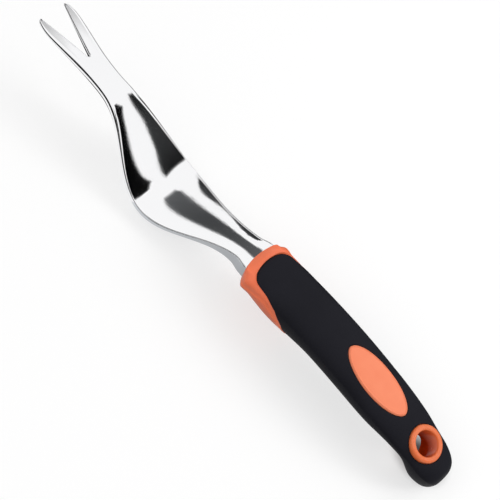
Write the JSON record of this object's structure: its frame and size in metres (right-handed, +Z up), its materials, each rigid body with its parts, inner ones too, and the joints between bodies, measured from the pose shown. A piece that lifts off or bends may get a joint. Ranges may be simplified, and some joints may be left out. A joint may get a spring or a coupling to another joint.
{
  "type": "hand weeder",
  "caption": "Hand weeder with a polished cast fork, a rounded fulcrum heel to lever roots out, and an arched soft-grip handle with a collar, a thumb inlay and a hang hole.",
  "frame": {"origin": "middle of the bounding box, on the plane the tool lies on", "axes": "+X from the fork tips to the butt, +Y to the left seen from the butt, +Z up through the thumb inlay"},
  "size_m": [0.3094, 0.0418, 0.0448],
  "materials": {
    "polished_aluminium": "cast aluminium, polished to a mirror",
    "orange_polypropylene": "moulded polypropylene, satin to glossy orange",
    "black_rubber": "soft thermoplastic rubber, matte black",
    "salmon_pad": "soft-touch plastic, matte light orange",
    "glossy_orange_bush": "moulded plastic, glossy deep orange"
  },
  "bodies": {
    "root": {"fork_head": "polished_aluminium", "handle_core": "orange_polypropylene", "grip_sleeve": "black_rubber", "thumb_inlay": "salmon_pad", "hang_eye": "glossy_orange_bush"}
  },
  "joints": []
}
